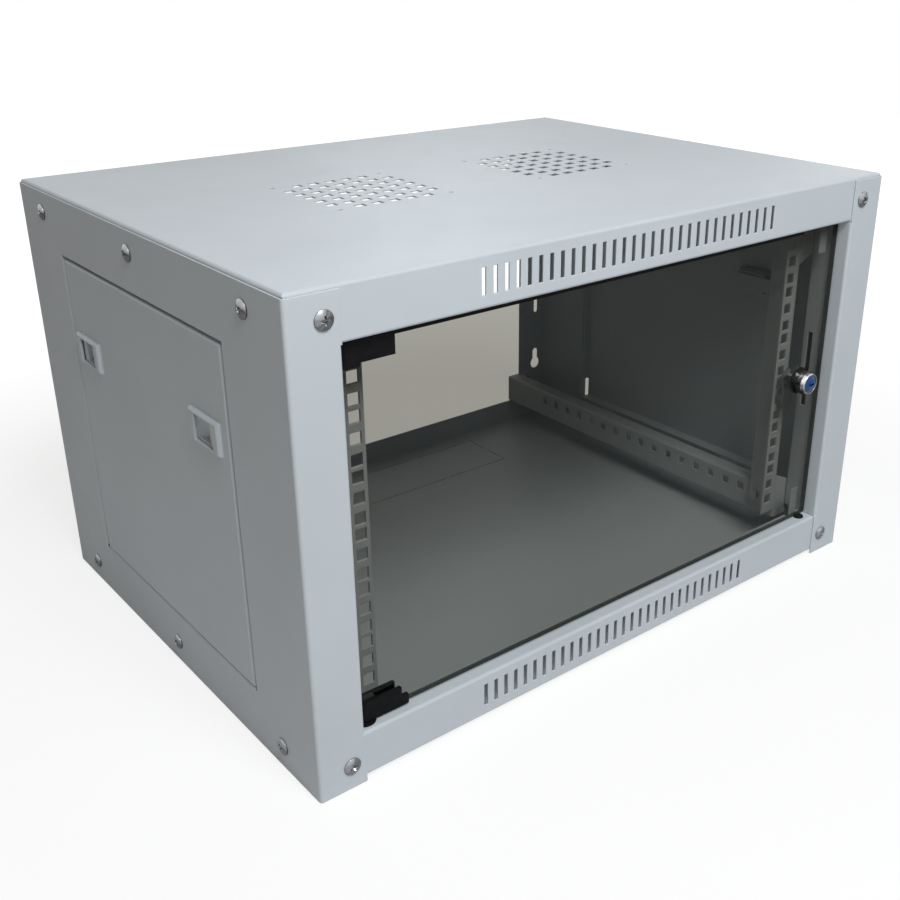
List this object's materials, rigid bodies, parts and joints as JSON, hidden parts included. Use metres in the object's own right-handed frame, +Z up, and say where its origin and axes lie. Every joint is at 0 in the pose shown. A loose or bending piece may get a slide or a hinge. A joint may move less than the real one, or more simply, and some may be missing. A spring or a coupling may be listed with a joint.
{
  "type": "wall mount network cabinet",
  "caption": "Wall mount network cabinet of folded sheet steel with a hinged tinted glass door, lift-off side panels, rack rails, fan grilles and an open back.",
  "frame": {"origin": "on the base plane, under the middle of the cabinet's width and depth", "axes": "+X to the right seen from the front, +Y to the back, +Z up; the door faces -Y"},
  "size_m": [0.607, 0.4532, 0.37],
  "materials": {
    "grey_paint": "light grey powder coat, fine texture, satin",
    "rail_paint": "light grey powder coat, satin",
    "zinc_steel": "bright zinc plated steel",
    "bright_screws": "bright nickel plated steel",
    "tinted_glass": "grey tinted toughened glass, polished edges",
    "black_hinge_paint": "black coated die casting",
    "black_plastic": "black moulded nylon",
    "black_rubber": "black rubber, matt",
    "lock_chrome": "polished chrome plated zinc",
    "blue_cap": "blue glossy plastic cap",
    "latch_plastic": "light grey moulded plastic, satin"
  },
  "bodies": {
    "cabinet": {"right_side_frame": "grey_paint", "left_side_frame": "grey_paint", "top_cover": "grey_paint", "bottom_cover": "grey_paint", "right_rack_rail": "rail_paint", "left_rack_rail": "rail_paint", "right_bottom_depth_rail": "rail_paint", "left_bottom_depth_rail": "rail_paint", "right_top_depth_rail": "rail_paint", "left_top_depth_rail": "rail_paint", "rack_rail_bolts": "zinc_steel", "rack_rail_nuts": "zinc_steel", "depth_rail_studs": "zinc_steel", "depth_rail_nuts": "zinc_steel", "front_screws": "bright_screws", "right_side_screws": "bright_screws", "left_side_screws": "bright_screws", "door_buffer": "black_rubber", "bottom_pivot_bush": "black_plastic", "top_pivot_bush": "black_plastic"},
    "door": {"door_glass": "tinted_glass", "bottom_hinge_block": "black_hinge_paint", "top_hinge_block": "black_hinge_paint", "bottom_hinge_pin": "zinc_steel", "top_hinge_pin": "zinc_steel", "hinge_gaskets": "black_rubber", "hinge_clamp_screws": "zinc_steel", "lock_housing": "lock_chrome", "lock_washer": "black_rubber", "lock_nut": "lock_chrome"},
    "lock": {"lock_plug": "blue_cap", "lock_cam": "zinc_steel", "lock_cam_screw": "zinc_steel"},
    "right_panel": {"right_side_panel": "grey_paint", "right_front_latch_housing": "latch_plastic", "right_rear_latch_housing": "latch_plastic"},
    "right_front_latch": {"right_front_latch_slider": "latch_plastic"},
    "right_rear_latch": {"right_rear_latch_slider": "latch_plastic"},
    "left_panel": {"left_side_panel": "grey_paint", "left_front_latch_housing": "latch_plastic", "left_rear_latch_housing": "latch_plastic"},
    "left_front_latch": {"left_front_latch_slider": "latch_plastic"},
    "left_rear_latch": {"left_rear_latch_slider": "latch_plastic"}
  },
  "joints": [
    {"name": "door_hinge", "type": "hinge", "parent": "cabinet", "child": "door", "pos_m": [-0.2525, -0.2105, 0.1865], "axis": [0, 0, -1], "range_deg": [0, 98]},
    {"name": "lock_turn", "type": "hinge", "parent": "door", "child": "lock", "pos_m": [0.234, -0.2, 0.185], "axis": [0, -1, 0], "range_deg": [0, 90]},
    {"name": "right_panel_tilt", "type": "hinge", "parent": "cabinet", "child": "right_panel", "pos_m": [0.3, -0.0005, 0.0493], "axis": [0, 1, 0], "range_deg": [0, 25]},
    {"name": "right_front_latch_slide", "type": "slide", "parent": "right_panel", "child": "right_front_latch", "axis": [0, -1, 0], "range_m": [0, 0.008]},
    {"name": "right_rear_latch_slide", "type": "slide", "parent": "right_panel", "child": "right_rear_latch", "axis": [0, 1, 0], "range_m": [0, 0.008]},
    {"name": "left_panel_tilt", "type": "hinge", "parent": "cabinet", "child": "left_panel", "pos_m": [-0.3, -0.0005, 0.0493], "axis": [0, -1, 0], "range_deg": [0, 25]},
    {"name": "left_front_latch_slide", "type": "slide", "parent": "left_panel", "child": "left_front_latch", "axis": [0, -1, 0], "range_m": [0, 0.008]},
    {"name": "left_rear_latch_slide", "type": "slide", "parent": "left_panel", "child": "left_rear_latch", "axis": [0, 1, 0], "range_m": [0, 0.008]}
  ]
}
